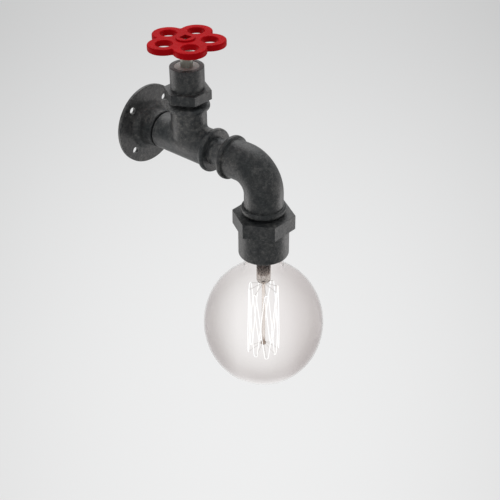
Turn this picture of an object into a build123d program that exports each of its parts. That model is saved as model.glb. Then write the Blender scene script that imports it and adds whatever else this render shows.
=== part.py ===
"""Industrial pipe wall light: half-inch pipe fittings on a round wall flange, a valve
handwheel that works a rotary dimmer, and a large round filament lamp hanging cap up.

Frame: the origin is the centre of the flange's back face on the wall, +Z is up and the
light stands out along -Y.  X = 0 is the plane of symmetry.  Millimetres throughout.
"""
from build123d import *
from math import atan2, cos, degrees, hypot, pi, radians, sin, tan
import os

# ---------------------------------------------------------------- driving dimensions
cut_over = 1.0                # how far a cut runs past a face, or a join into its neighbour

# Half-inch pipe and how it fits
pipe_dia = 21.3
pipe_bore = 16.0
thread_pitch = 1.8
thread_depth = 0.7
screwed_fit = 0.05            # radial room between a screwed or pushed-in pair
thread_engagement = 13.0      # length of pipe inside each fitting
fitting_waterway = 19.0       # bore of the tee and elbow between their sockets

# Wall flange
flange_dia = 63.0
flange_thickness = 2.6
flange_edge = 0.5
hub_base_dia = 31.0
hub_rim_dia = 29.8
hub_height = 18.0             # wall to hub rim
hub_root_fillet = 5.0
hub_rim_round = 0.8
screw_count = 4
screw_circle_dia = 48.0
screw_hole_dia = 5.5
nipple_recess = 5.0           # wall to the end of the rear nipple

# Tee
tee_gap = 1.8                 # hub rim to the tee's rear face
tee_rear_reach = 26.2         # rear face to the branch axis
tee_front_reach = 27.4
tee_branch_reach = 31.2
tee_run_dia = 28.6
tee_branch_dia = 27.4
tee_blend = 3.0
run_bead_dia = 33.8
branch_bead_dia = 32.6
bead_width = 4.4
bead_round = 1.9

# Elbow and the pipe that carries it
arm_gap = 13.5                # bare pipe between tee and elbow
elbow_reach = 33.1            # face to the lamp's axis
elbow_drop = 33.7             # arm's axis to the lower mouth
elbow_bend_radius = 19.0
elbow_dia = 29.4
elbow_bead_dia = 33.8
lower_bead_width = 4.9

# Lamp cup under the elbow
cup_gap = 1.9                 # bare thread between elbow and hexagon
cup_hex_corner_dia = 47.8
cup_hex_height = 11.7
cup_skirt_dia = 38.4
cup_skirt_length = 23.6
cup_wall = 2.2
cup_roof = 3.8
cup_rim_round = 1.6
hex_edge = 0.35               # rounding of every hexagon's edges

# Bonnet on the tee's branch
bonnet_gap = 4.0              # bare thread between branch and hexagon
bonnet_hex_corner_dia = 36.6
bonnet_hex_height = 7.5
bonnet_tube_dia = 25.8
bonnet_tube_length = 17.9
bonnet_wall = 3.3
bonnet_web = 2.5              # plate that the dimmer hangs from
bonnet_web_height = 2.8       # bottom of the hexagon to the underside of the web
bonnet_edge = 0.5

# Bush that guides the spindle
bush_length = 8.1
bush_face_dia = 18.6
bush_face_height = 2.1
bush_recess = 0.25            # bonnet top to the bush's face

# Spindle and handwheel
spindle_dia = 9.2
running_fit = 0.06            # radial room round a turning shaft
spindle_collar_dia = 13.2
spindle_collar_height = 1.8
collar_gap = 0.3              # collar to the bush above it
spindle_tail = 1.2            # below the collar
wheel_gap = 15.8              # bonnet top to the wheel's underside
wheel_thickness = 4.8
petal_count = 5
petal_circle_dia = 35.0
petal_dia = 24.4
petal_hole_dia = 12.4
petal_round = 1.0
petal_notch_round = 1.2
boss_dia = 14.4
boss_height = 1.2
boss_round = 0.7
wheel_square = 6.8
tang_fit = 0.05
tang_length = 3.2
shaft_end_room = 0.3          # beyond the end of the dimmer's shaft in the spindle

# Rotary dimmer inside the bonnet
dimmer_dia = 16.0
dimmer_height = 11.5
dimmer_wall = 1.1
dimmer_top = 1.5
dimmer_base_thickness = 1.6
dimmer_bushing_dia = 7.0
dimmer_shaft_dia = 6.0
dimmer_flat = 1.5             # shaft axis to its flat
dimmer_shaft_overlap = 6.5    # length of shaft inside the spindle
dimmer_shaft_gap = 0.7        # bushing to the spindle's tail
rotor_dia = 8.8
rotor_thickness = 2.0
rotor_drop = 1.4              # under the roof of the case to the rotor
flat_runout = 0.3             # length of flat that shows below the spindle
stop_arm_width = 2.6
stop_lug_width = 4.6
stop_angle = 45.0             # lug to the arm at either end of its turn
stop_fit = 0.4
tag_size = (2.4, 0.8, 4.8)
tag_fit = 0.05
tag_y = 3.0                   # tags lie either side of the branch axis
washer_dia = 11.6
washer_thickness = 0.5
nut_flats = 10.0
nut_thickness = 2.2

# Terminal block in the rear nipple
block_front_gap = 9.0         # wall to the block's rear face
block_length = 15.0
block_height = 8.2
block_fit = 0.3
pole_pitch = 4.8
insert_dia = 3.2
insert_recess = 1.0
insert_bore = 1.9
clamp_screw_dia = 2.2
clamp_screw_height = 2.2
clamp_screw_inset = 3.6       # end of the insert to a screw's axis
clamp_screw_slot = (0.5, 0.6)
lead_dia = 2.2
earth_lane = 5.0              # how far the earth lead runs below or behind the centre line
earth_leave = 16.0            # tee's rear face to where the earth lead turns down
earth_settle = 20.0           # length over which it reaches its lane

# Lampholder inside the cup
holder_fit = 0.3
holder_top_gap = 0.1
holder_base = 5.2
holder_wall = 2.4
holder_rim_recess = 3.4       # skirt rim to the holder's rim
holder_well = (15.6, 9.0, 3.0)
holder_terminal = (4.4, 5.0, 2.4)
holder_screw_circle = 21.0
holder_screw_dia = 3.0
holder_screw_head_dia = 5.4
holder_screw_head_height = 1.7
holder_screw_grip = 3.0       # length of screw in the cup's roof
holder_screw_slot = 0.8
holder_hole_fit = 0.2         # room round what passes through the moulding
terminal_screw_dia = 2.0
terminal_screw_slot = (0.8, 0.4)
terminal_screw_gap = 0.3      # screw's head to the well's side
strip_width = 4.0
strip_thickness = 0.5
strip_gap = 0.1               # strips and screw heads to the moulding
dimple_tip_dia = 2.4
dimple_root_dia = 3.8
tag_thickness = 0.5
tag_ring_dia = 6.4
tongue_margin = 0.4           # tag's tongue beyond the earth lead
shell_wall = 0.3
shell_groove = 0.5
shell_fit = 0.1
shell_plain_end = 2.0         # least length without thread at its closed end
shell_rim_recess = 1.0        # holder rim to the end of the screw shell

# Lamp with a 27 mm Edison cap
lamp_pitch = 3.629
cap_crest_dia = 26.3
cap_root_dia = 24.3
cap_sheet = 0.35
cap_crests = 4
cap_crest_flat = 1.0
cap_root_flat = 0.7
cap_collar_dia = 26.6
cap_collar_height = 2.4
cap_collar_inset = 0.9        # skirt rim up to the cap's collar
cap_collar_neck = 1.0         # height over which the collar meets the thread
cap_length = 18.7
cap_shoulder_dia = 20.6
cap_shoulder_height = 1.6
insulator_height = 2.4
insulator_land = 0.6          # glass that shows round the contact
contact_dia = 9.2
contact_height = 1.0
contact_round = 0.6
contact_gap = 0.3             # cap contact to the holder's contact
bulb_dia = 95.0
bulb_stretch = 4.5            # how much longer the globe is than wide, each way
bulb_drop = 66.3              # skirt rim to the centre of the globe
bulb_wall = 0.9
neck_dia = 30.4
neck_inside_cap = 5.0
neck_fit = 0.1                # glass to the cap's sheet
neck_shoulder = 2.6
neck_flare = 10.0

# Glass mount and filament cage
mount_dia = 11.0
mount_wall = 0.9
mount_tip_drop = 26.8         # skirt rim to the end of the pinched glass
mount_flare = 5.0             # height over which the tube opens to meet the neck
seal_overlap = 0.05
pinch_length = 8.0
pinch_round = 2.4
rod_dia = 2.8
rod_drop = 89.1               # skirt rim to the end of the glass rod
rod_button_dia = 4.2
rod_button_length = 3.0
rod_button_round = 1.2
cage_dia = 25.8
cage_height = 62.1
cage_drop = 64.05             # skirt rim to the middle of the cage
cage_loops = 4                # loops of each strand, top and bottom
cage_phase = 7.0              # angle of one bottom loop from +X, degrees
strand_dia = 0.6
strand_spacing = 1.0          # radial distance between the two strands
loop_width = 2.6
support_dia = 0.4
support_fit = 0.3
support_grip = 0.8            # share of the rod's radius at which a support starts
support_head = 2.0            # end of the pinched glass up or down to the supports
lead_wire_dia = 0.6
lead_wire_spacing = 5.2
lead_wire_sink = 0.7          # depth of the wires in the pinched glass
fork_spread = 40.0            # turn of a fork's foot from its strand's middle, degrees

# ------------------------------------------------------------------- derived stations
pipe_r = pipe_dia / 2
socket_r = pipe_r + screwed_fit
tee_rear = hub_height + tee_gap
branch_y = tee_rear + tee_rear_reach
tee_front = branch_y + tee_front_reach
elbow_face = tee_front + arm_gap
lamp_y = elbow_face + elbow_reach
cup_hex_top = -elbow_drop - cup_gap
cup_hex_bottom = cup_hex_top - cup_hex_height
cup_rim = cup_hex_bottom - cup_skirt_length
cup_roof_face = cup_hex_top - cup_roof
cup_bore_r = cup_skirt_dia / 2 - cup_wall

bonnet_hex_bottom = tee_branch_reach + bonnet_gap
bonnet_hex_top = bonnet_hex_bottom + bonnet_hex_height
bonnet_top = bonnet_hex_top + bonnet_tube_length
web_bottom = bonnet_hex_bottom + bonnet_web_height
web_top = web_bottom + bonnet_web
bush_bore_r = bonnet_tube_dia / 2 - bonnet_wall
bush_face = bonnet_top - bush_recess
bush_shoulder = bush_face - bush_face_height
bush_bottom = bush_shoulder - bush_length
spindle_r = spindle_dia / 2
collar_top = bush_bottom - collar_gap
collar_bottom = collar_top - spindle_collar_height
spindle_bottom = collar_bottom - spindle_tail
wheel_bottom = bonnet_top + wheel_gap
wheel_top = wheel_bottom + wheel_thickness

dimmer_top_face = web_bottom - screwed_fit
dimmer_bottom = dimmer_top_face - dimmer_height
bushing_top = spindle_bottom - dimmer_shaft_gap
tag_bottom = dimmer_bottom - tag_size[2]
dimmer_cavity_r = dimmer_dia / 2 - dimmer_wall
rotor_top = dimmer_top_face - dimmer_top - rotor_drop

holder_r = cup_bore_r - holder_fit
holder_top = cup_roof_face - holder_top_gap
holder_floor = holder_top - holder_base
holder_rim = cup_rim + holder_rim_recess
holder_bore_r = holder_r - holder_wall
well_floor = holder_top - holder_well[2]
strip_face = holder_floor - strip_gap
strip_bottom = strip_face - strip_thickness
shell_outer_r = holder_bore_r - shell_fit
holder_terminal_top = well_floor + holder_terminal[2]
tag_seat = cup_roof_face - tag_thickness - screwed_fit
shell_bottom = holder_rim + shell_rim_recess

cap_rim = cup_rim + cap_collar_inset
cap_top = cap_rim + cap_length
cap_shoulder_top = cap_top + cap_shoulder_height
insulator_top = cap_shoulder_top + insulator_height
contact_top = insulator_top + contact_height
bulb_centre = cup_rim - bulb_drop
bulb_half_height = bulb_dia / 2 + bulb_stretch
seal_r = cap_root_dia / 2 - cap_sheet - neck_fit
mount_tip = cup_rim - mount_tip_drop
cage_centre = cup_rim - cage_drop
strand_radii = (cage_dia / 2 - strand_dia / 2 - strand_spacing, cage_dia / 2 - strand_dia / 2)
strand_tops = (cage_phase + 180 / cage_loops, cage_phase)

block_front = block_front_gap + block_length
insert_rear = block_front_gap + insert_recess
insert_front = block_front - insert_recess
poles = (-pole_pitch, 0, pole_pitch)
clamp_stations = (insert_rear + clamp_screw_inset, insert_front - clamp_screw_inset)


# ------------------------------------------------------------------------- small tools
def turned(outline):
    """Solid of revolution about Z from (radius, height) corners."""
    ring = Polyline([(r, 0, z) for r, z in outline], close=True)
    return revolve(make_face(ring.edges()), Axis.Z)


def tube(outer_r, inner_r, low, high):
    """Ring about Z between two heights."""
    return turned([(inner_r, low), (outer_r, low), (outer_r, high), (inner_r, high)])


def rod(radius, low, high):
    """Cylinder about Z between two heights."""
    return Pos(0, 0, (low + high) / 2) * Cylinder(radius, high - low)


def block(size, low_centre):
    """Box with its bottom face centred on a point."""
    x, y, z = low_centre
    return Pos(x, y, z + size[2] / 2) * Box(*size)


def bead(radius, low, high):
    """Rounded collar of a cast fitting, solid to the axis, about Z."""
    collar = rod(radius, low, high)
    return fillet(collar.edges().filter_by(GeomType.CIRCLE), bead_round)


def hexagon(corner_dia, low, high):
    """Hexagonal collar about Z with corners along X and slightly rounded edges."""
    blank = Pos(0, 0, low) * extrude(RegularPolygon(corner_dia / 2, 6), high - low)
    return fillet(blank.edges(), hex_edge)


def thread(radius, low, high):
    """Cylinder about Z whose surface carries the rings of a pipe thread."""
    count = max(1, int((high - low) / thread_pitch))
    step = (high - low) / count
    outline = [(0, low), (radius - thread_depth, low)]
    for turn in range(count):
        outline.append((radius, low + (turn + 0.5) * step))
        outline.append((radius - thread_depth, low + (turn + 1) * step))
    outline.append((0, high))
    return turned(outline)


def outward(part):
    """Turns a part drawn about Z so that its height runs out from the wall, along -Y."""
    return Rot(90, 0, 0) * part


def on_branch(part):
    """Moves a part drawn about Z onto the branch's axis."""
    return Pos(0, -branch_y, 0) * part


def on_lamp(part):
    """Moves a part drawn about Z onto the lamp's axis."""
    return Pos(0, -lamp_y, 0) * part


# -------------------------------------------------------------------- pipe and fittings
def wall_flange():
    """Round plate with a flared hub, four screw holes and a threaded bore."""
    plate = rod(flange_dia / 2, 0, flange_thickness)
    plate = chamfer(plate.edges().group_by(Axis.Z)[-1], flange_edge)
    hub = turned([(0, 0), (hub_base_dia / 2, 0), (hub_base_dia / 2, flange_thickness),
                  (hub_rim_dia / 2, hub_height), (0, hub_height)])
    body = plate + hub
    root = body.edges().filter_by(GeomType.CIRCLE).filter_by(
        lambda e: abs(e.radius - hub_base_dia / 2) < 0.01)
    body = fillet(root, hub_root_fillet)
    rim = body.edges().group_by(Axis.Z)[-1]
    body = fillet(rim, hub_rim_round)
    body -= rod(socket_r, -cut_over, hub_height + cut_over)
    holes = PolarLocations(screw_circle_dia / 2, screw_count, 180 / screw_count)
    for place in holes:
        body -= place * Cylinder(screw_hole_dia / 2, 4 * flange_thickness)
    return outward(body)


def nipple(near, far):
    """Length of pipe whose ends are hidden in two fittings."""
    return outward(tube(pipe_r, pipe_bore / 2, near, far))


def tee():
    """Malleable tee: straight run out from the wall, branch up, beads at two mouths."""
    run = outward(rod(tee_run_dia / 2, tee_rear, tee_front))
    branch = on_branch(rod(tee_branch_dia / 2, 0, tee_branch_reach))
    body = run + branch
    seam = [e for e in body.edges() if e.geom_type not in (GeomType.CIRCLE, GeomType.LINE)]
    body = fillet(seam, tee_blend)
    body += outward(bead(run_bead_dia / 2, tee_front - bead_width, tee_front))
    body += on_branch(bead(branch_bead_dia / 2, tee_branch_reach - bead_width,
                           tee_branch_reach))
    body -= outward(rod(fitting_waterway / 2, tee_rear - cut_over, tee_front + cut_over))
    body -= outward(rod(socket_r, tee_rear - cut_over, tee_rear + thread_engagement))
    body -= outward(rod(socket_r, tee_front - thread_engagement, tee_front + cut_over))
    body -= on_branch(rod(fitting_waterway / 2, 0, tee_branch_reach + cut_over))
    body -= on_branch(rod(socket_r, tee_branch_reach - thread_engagement, tee_branch_reach + cut_over))
    return body


def bent_rod(radius):
    """Solid along the elbow's centre line, from its face to its lower mouth."""
    start = (0, -elbow_face, 0)
    corner = (0, -lamp_y, 0)
    end = (0, -lamp_y, -elbow_drop)
    path = FilletPolyline(start, corner, end, radius=elbow_bend_radius)
    section = Plane(origin=start, z_dir=(0, -1, 0)) * Circle(radius)
    return sweep(section, path=path)


def elbow():
    """Cast 90 degree elbow with a bead at each mouth."""
    body = bent_rod(elbow_dia / 2)
    body += outward(bead(elbow_bead_dia / 2, elbow_face, elbow_face + bead_width))
    body += on_lamp(bead(elbow_bead_dia / 2, -elbow_drop, -elbow_drop + lower_bead_width))
    body -= bent_rod(fitting_waterway / 2)
    body -= outward(rod(socket_r, elbow_face - cut_over, elbow_face + thread_engagement))
    body -= on_lamp(rod(socket_r, -elbow_drop - cut_over, -elbow_drop + thread_engagement))
    return body


def lamp_cup():
    """Hexagon over a round skirt, screwed up into the elbow; it holds the lampholder."""
    skirt = rod(cup_skirt_dia / 2, cup_rim, cup_hex_bottom)
    skirt = fillet(skirt.edges().group_by(Axis.Z)[0], cup_rim_round)
    body = skirt + hexagon(cup_hex_corner_dia, cup_hex_bottom, cup_hex_top)
    body += thread(pipe_r, cup_hex_top, -elbow_drop)
    body += rod(pipe_r, -elbow_drop, -elbow_drop + thread_engagement)
    body -= rod(cup_bore_r, cup_rim - cut_over, cup_roof_face)
    body -= rod(pipe_bore / 2, cup_roof_face - cut_over, 0)
    for side in (-1, 1):
        seat = Pos(0, side * holder_screw_circle / 2, 0)
        body -= seat * rod(holder_screw_dia / 2 + screwed_fit, cup_roof_face - cut_over,
                           cup_roof_face + holder_screw_grip + screwed_fit)
    return on_lamp(body)


def bonnet():
    """Hexagon and tube screwed into the branch; a web inside carries the dimmer."""
    tube_part = rod(bonnet_tube_dia / 2, bonnet_hex_top, bonnet_top)
    tube_part = fillet(tube_part.edges().group_by(Axis.Z)[-1], bonnet_edge)
    body = tube_part + hexagon(bonnet_hex_corner_dia, bonnet_hex_bottom, bonnet_hex_top)
    body += thread(pipe_r, tee_branch_reach, bonnet_hex_bottom)
    body += rod(pipe_r, tee_branch_reach - thread_engagement, tee_branch_reach)
    body -= rod(dimmer_dia / 2 + holder_fit, 0, web_bottom)
    body -= rod(dimmer_bushing_dia / 2 + screwed_fit, 0, web_top + cut_over)
    body -= rod(bush_bore_r - bonnet_edge, web_top, bush_bottom)
    body -= rod(bush_bore_r, bush_bottom, bonnet_top + cut_over)
    return on_branch(body)


def bonnet_bush():
    """Guide bush for the spindle; its narrower face shows inside the bonnet's rim."""
    body = rod(bush_bore_r - screwed_fit, bush_bottom, bush_shoulder)
    body += rod(bush_face_dia / 2, bush_shoulder, bush_face)
    body -= rod(spindle_r + running_fit, bush_bottom - cut_over, bush_face + cut_over)
    return on_branch(body)


# ------------------------------------------------------------------ handwheel and spindle
def petal_places(first_angle):
    """Centres of the wheel's loops; one loop points straight at the wall."""
    return [Pos(petal_circle_dia / 2 * cos(a), petal_circle_dia / 2 * sin(a), 0)
            for a in (radians(first_angle + 360 * k / petal_count) for k in range(petal_count))]


def handwheel():
    """Five-loop valve wheel with a raised boss and a square hole through it."""
    places = petal_places(90)
    between_petals = petal_circle_dia / 2 * cos(pi / petal_count)
    disc = Cylinder(between_petals, wheel_thickness)
    for place in places:
        disc += place * Cylinder(petal_dia / 2, wheel_thickness)
    notches = [e for e in disc.edges().filter_by(Axis.Z)
               if hypot(e.center().X, e.center().Y) > petal_circle_dia / 2]
    disc = fillet(notches, petal_notch_round)
    outline = disc.edges().group_by(Axis.Z)[-1] + disc.edges().group_by(Axis.Z)[0]
    disc = fillet(outline, petal_round)
    for place in places:
        core = place * Cylinder(petal_hole_dia / 2, wheel_thickness + 2 * cut_over)
        disc -= core
    mouths = [e for e in disc.edges().filter_by(GeomType.CIRCLE)
              if abs(e.radius - petal_hole_dia / 2) < 0.01]
    disc = fillet(mouths, petal_round)
    disc = Pos(0, 0, wheel_bottom + wheel_thickness / 2) * disc
    boss = rod(boss_dia / 2, wheel_top - cut_over, wheel_top + boss_height)
    boss = fillet(boss.edges().group_by(Axis.Z)[-1], boss_round)
    disc += boss
    disc -= block((wheel_square, wheel_square, wheel_thickness + boss_height + 2 * cut_over),
                  (0, 0, wheel_bottom - cut_over))
    return on_branch(disc)


def spindle():
    """Stem with a retaining collar, a square tang for the wheel and a D-shaped socket."""
    body = rod(spindle_r, spindle_bottom, wheel_bottom)
    body += rod(spindle_collar_dia / 2, collar_bottom, collar_top)
    side = wheel_square - 2 * tang_fit
    tang = block((side, side, tang_length), (0, 0, wheel_bottom))
    body += tang & rod(spindle_r, wheel_bottom, wheel_bottom + tang_length)
    body -= flatted_rod(screwed_fit, spindle_bottom - cut_over,
                        spindle_bottom + dimmer_shaft_overlap + shaft_end_room)
    return on_branch(body)


def flatted_rod(room, low, high):
    """Dimmer shaft section with its flat, enlarged all round by some room."""
    radius = dimmer_shaft_dia / 2 + room
    face = dimmer_flat + room
    depth = radius - face
    return rod(radius, low, high) - block((depth, 2 * radius, high - low),
                                          (face + depth / 2, 0, low))


# ------------------------------------------------------------------------ rotary dimmer
def dimmer_case():
    """Round case with a threaded neck and the lug that limits the rotor's turn."""
    low = dimmer_bottom + dimmer_base_thickness
    roof = dimmer_top_face - dimmer_top
    body = rod(dimmer_dia / 2, low, dimmer_top_face)
    body -= rod(dimmer_cavity_r, low, roof)
    body += rod(dimmer_bushing_dia / 2, dimmer_top_face, bushing_top)
    inner = rotor_dia / 2 + stop_fit
    reach = dimmer_cavity_r - inner + dimmer_wall / 2
    lug = block((reach, stop_lug_width, roof - (rotor_top - rotor_thickness)),
                (inner + reach / 2, 0, rotor_top - rotor_thickness))
    body += Rot(0, 0, stop_angle) * lug
    body -= rod(dimmer_shaft_dia / 2 + running_fit, low, bushing_top + cut_over)
    return on_branch(body)


def dimmer_base():
    """Insulating disc that closes the case and carries the solder tags."""
    body = rod(dimmer_dia / 2, dimmer_bottom, dimmer_bottom + dimmer_base_thickness)
    for side in (-1, 1):
        slot = (tag_size[0] + 2 * tag_fit, tag_size[1] + 2 * tag_fit, dimmer_base_thickness + 2 * cut_over)
        body -= block(slot, (-pole_pitch, side * tag_y, dimmer_bottom - cut_over))
    return on_branch(body)


def dimmer_tags():
    """Two brass tags through the base, one for each side of the switched live."""
    height = tag_size[2] + dimmer_base_thickness
    tags = [block((tag_size[0], tag_size[1], height), (-pole_pitch, side * tag_y, tag_bottom))
            for side in (-1, 1)]
    return on_branch(Compound(children=tags))


def dimmer_rotor():
    """Shaft, wiper disc and stop arm, turned by the spindle through its flat."""
    body = rod(rotor_dia / 2, rotor_top - rotor_thickness, rotor_top)
    arm = dimmer_cavity_r - stop_fit
    body += block((arm, stop_arm_width, rotor_thickness),
                  (arm / 2, 0, rotor_top - rotor_thickness))
    round_top = spindle_bottom - flat_runout
    body += rod(dimmer_shaft_dia / 2, rotor_top - rotor_thickness, round_top)
    body += flatted_rod(0, round_top, spindle_bottom + dimmer_shaft_overlap)
    return on_branch(body)


def dimmer_washer():
    """Flat washer between the web and the nut."""
    inner = dimmer_bushing_dia / 2 + screwed_fit
    return on_branch(tube(washer_dia / 2, inner, web_top, web_top + washer_thickness))


def dimmer_nut():
    """Thin hexagon nut that clamps the dimmer to the web."""
    low = web_top + washer_thickness
    body = hexagon(nut_flats / cos(pi / 6), low, low + nut_thickness)
    body -= rod(dimmer_bushing_dia / 2 + screwed_fit, low - cut_over, low + nut_thickness + cut_over)
    return on_branch(body)


# ----------------------------------------------------------------------- terminal block
def terminal_block():
    """Three-pole block, rounded to lie in the rear nipple's bore."""
    body = outward(rod(pipe_bore / 2 - block_fit, block_front_gap, block_front))
    body &= Pos(0, -(block_front_gap + block_front) / 2, 0) * Box(
        pipe_bore, block_length, block_height)
    for x in poles:
        body -= Pos(x, 0, 0) * outward(rod(insert_dia / 2 + screwed_fit, block_front_gap - cut_over,
                                           block_front + cut_over))
        for y in clamp_stations:
            body -= Pos(x, -y, 0) * rod(clamp_screw_dia / 2 + screwed_fit, 0, block_height)
    return body


def terminal_inserts():
    """Three brass sleeves that the leads go into."""
    sleeves = []
    for x in poles:
        sleeve = outward(tube(insert_dia / 2, insert_bore / 2, insert_rear, insert_front))
        sleeves.append(Pos(x, 0, 0) * sleeve)
    return Compound(children=sleeves)


def terminal_screws():
    """Six slotted clamp screws standing on the sleeves."""
    screws = []
    low = insert_dia / 2
    slot_width, slot_depth = clamp_screw_slot
    for x in poles:
        for y in clamp_stations:
            screw = rod(clamp_screw_dia / 2, low, low + clamp_screw_height)
            screw -= block((clamp_screw_dia + cut_over, slot_width, slot_depth + cut_over),
                           (0, 0, low + clamp_screw_height - slot_depth))
            screws.append(Pos(x, -y, 0) * screw)
    return Compound(children=screws)


# ------------------------------------------------------------------------ internal leads
def lead(name, route, bends):
    """Round lead along straight runs and tangent arcs; prints its bends and its volume."""
    path = FilletPolyline(*route, radius=bends)
    section = Plane(origin=route[0], z_dir=path % 0) * Circle(lead_dia / 2)
    body = sweep(section, path=path)
    expected = pi * (lead_dia / 2) ** 2 * path.length
    print(f"{name}: length {path.length:.1f}, bends {bends}, volume {body.volume:.1f}"
          f" for {expected:.1f}")
    return body


def live_lead():
    """From the terminal block up the branch to the dimmer's rear tag."""
    turn_y = branch_y - tag_y
    route = [(-pole_pitch, -insert_front, 0), (-pole_pitch, -turn_y, 0),
             (-pole_pitch, -turn_y, tag_bottom)]
    return lead("live_lead", route, [0.45 * (turn_y - insert_front)])


def switched_live_lead():
    """From the dimmer's front tag down the branch, along the arm to the lampholder."""
    turn_y = branch_y + tag_y
    route = [(-pole_pitch, -turn_y, tag_bottom), (-pole_pitch, -turn_y, 0),
             (-pole_pitch, -lamp_y, 0), (-pole_pitch, -lamp_y, holder_terminal_top)]
    return lead("switched_live_lead", route, [0.45 * tag_bottom, elbow_bend_radius])


def neutral_lead():
    """From the terminal block straight along the arm to the lampholder."""
    route = [(pole_pitch, -insert_front, 0), (pole_pitch, -lamp_y, 0),
             (pole_pitch, -lamp_y, holder_terminal_top)]
    return lead("neutral_lead", route, [elbow_bend_radius])


def earth_lead():
    """From the block's middle pole, under the other leads, to the tag on the cup's roof."""
    leave = tee_rear + earth_leave
    settle = leave + earth_settle
    drop_y = lamp_y - earth_lane
    turn = atan2(earth_lane, settle - leave) / 2
    route = [(0, -insert_front, 0), (0, -leave, 0), (0, -settle, -earth_lane),
             (0, -drop_y, -earth_lane), (0, -drop_y, cup_roof_face)]
    bends = [0.45 * (leave - insert_front) / tan(turn), 0.45 * (settle - leave) / tan(turn),
             elbow_bend_radius - earth_lane]
    return lead("earth_lead", route, bends)


# -------------------------------------------------------------------------- lampholder
def lampholder_body():
    """Porcelain cup: a base with a wiring well and a skirt round the screw shell."""
    body = rod(holder_r, holder_rim, holder_top)
    body -= rod(holder_bore_r, holder_rim - cut_over, holder_floor)
    body -= block((holder_well[0], holder_well[1], holder_well[2] + cut_over), (0, 0, well_floor))
    for side in (-1, 1):
        centre = Pos(0, side * holder_screw_circle / 2, 0)
        body -= centre * rod(holder_screw_dia / 2 + holder_hole_fit, holder_floor - cut_over,
                             holder_top + cut_over)
        body -= centre * rod(holder_screw_head_dia / 2 + holder_hole_fit, holder_floor - cut_over,
                             holder_floor + holder_screw_head_height)
        hole = (strip_thickness + holder_hole_fit, strip_width + holder_hole_fit, holder_base)
        body -= block(hole, (side * pole_pitch, 0, holder_floor - cut_over))
    body -= Pos(0, holder_screw_circle / 2, 0) * rod(tag_ring_dia / 2 + holder_hole_fit,
                                                     tag_seat, holder_top + cut_over)
    tongue = holder_screw_circle / 2 - earth_lane + lead_dia
    body -= block((strip_width + 2 * holder_hole_fit, tongue, holder_top + cut_over - tag_seat),
                  (0, holder_screw_circle / 2 - tongue / 2, tag_seat))
    return on_lamp(body)


def strip(side):
    """Tab from a terminal down through the base, bent flat under it."""
    return block((strip_thickness, strip_width, well_floor - strip_bottom),
                 (side * pole_pitch, 0, strip_bottom))


def centre_contact():
    """Brass spring that meets the lamp's centre contact."""
    body = strip(-1)
    reach = pole_pitch + 2 * strip_thickness
    body += block((reach, strip_width, strip_thickness),
                  (-pole_pitch - strip_thickness / 2 + reach / 2, 0, strip_bottom))
    dimple_bottom = contact_top + contact_gap
    dimple_top = strip_bottom + strip_thickness / 2
    body += turned([(0, dimple_bottom), (dimple_tip_dia / 2, dimple_bottom),
                    (dimple_root_dia / 2, dimple_top), (0, dimple_top)])
    return on_lamp(body)


def screw_shell():
    """Threaded sheet shell that takes the lamp's cap, with its own tab to the neutral."""
    count = int((strip_face - shell_bottom - shell_plain_end) / lamp_pitch)
    outer = [(shell_outer_r, strip_face)]
    inner = [(shell_outer_r - shell_wall, strip_face)]
    top = shell_bottom + count * lamp_pitch
    for turn in range(count):
        high = top - turn * lamp_pitch
        outer += [(shell_outer_r, high), (shell_outer_r - shell_groove, high - lamp_pitch / 2)]
        inner += [(shell_outer_r - shell_wall, high),
                  (shell_outer_r - shell_wall - shell_groove, high - lamp_pitch / 2)]
    outer.append((shell_outer_r, shell_bottom))
    inner.append((shell_outer_r - shell_wall, shell_bottom))
    body = turned(outer + inner[::-1])
    body += strip(1)
    reach = shell_outer_r - pole_pitch
    body += block((reach, strip_width, strip_thickness),
                  (pole_pitch - strip_thickness / 2 + reach / 2, 0, strip_bottom))
    return on_lamp(body)


def holder_terminals():
    """Two brass blocks in the well that clamp the leads."""
    blocks = [block(holder_terminal, (side * pole_pitch, 0, well_floor)) for side in (-1, 1)]
    return on_lamp(Compound(children=blocks))


def holder_terminal_screws():
    """Clamp screws in the sides of the two brass blocks."""
    middle = well_floor + holder_terminal[2] / 2
    length = (holder_well[1] - holder_terminal[1]) / 2 - terminal_screw_gap
    slot_depth, slot_width = terminal_screw_slot
    screws = []
    for side in (-1, 1):
        screw = outward(rod(terminal_screw_dia / 2, 0, length))
        screw -= Pos(0, -length, 0) * Box(terminal_screw_dia + cut_over, slot_depth, slot_width)
        screws.append(Pos(side * pole_pitch, -holder_terminal[1] / 2, middle) * screw)
    return on_lamp(Compound(children=screws))


def lampholder_screws():
    """Two cheese-head screws that fix the porcelain to the cup's roof."""
    screws = []
    for side in (-1, 1):
        seat = holder_floor + holder_screw_head_height
        screw = rod(holder_screw_dia / 2, seat, cup_roof_face + holder_screw_grip)
        screw += rod(holder_screw_head_dia / 2, holder_floor + strip_gap, seat)
        screw -= block((holder_screw_head_dia + cut_over, holder_screw_slot, holder_screw_slot),
                       (0, 0, holder_floor))
        screws.append(Pos(0, side * holder_screw_circle / 2, 0) * screw)
    return on_lamp(Compound(children=screws))


def earth_tag():
    """Ring tag under the rear screw, with a tongue that the earth lead lands on."""
    centre_y = holder_screw_circle / 2
    low = cup_roof_face - tag_thickness
    body = Pos(0, centre_y, 0) * rod(tag_ring_dia / 2, low, cup_roof_face)
    tongue = centre_y - earth_lane + lead_dia / 2 + tongue_margin
    body += block((strip_width, tongue, tag_thickness), (0, centre_y - tongue / 2, low))
    body -= Pos(0, centre_y, 0) * rod(holder_screw_dia / 2 + screwed_fit, low - cut_over,
                                      cup_roof_face + cut_over)
    return on_lamp(body)


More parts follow.
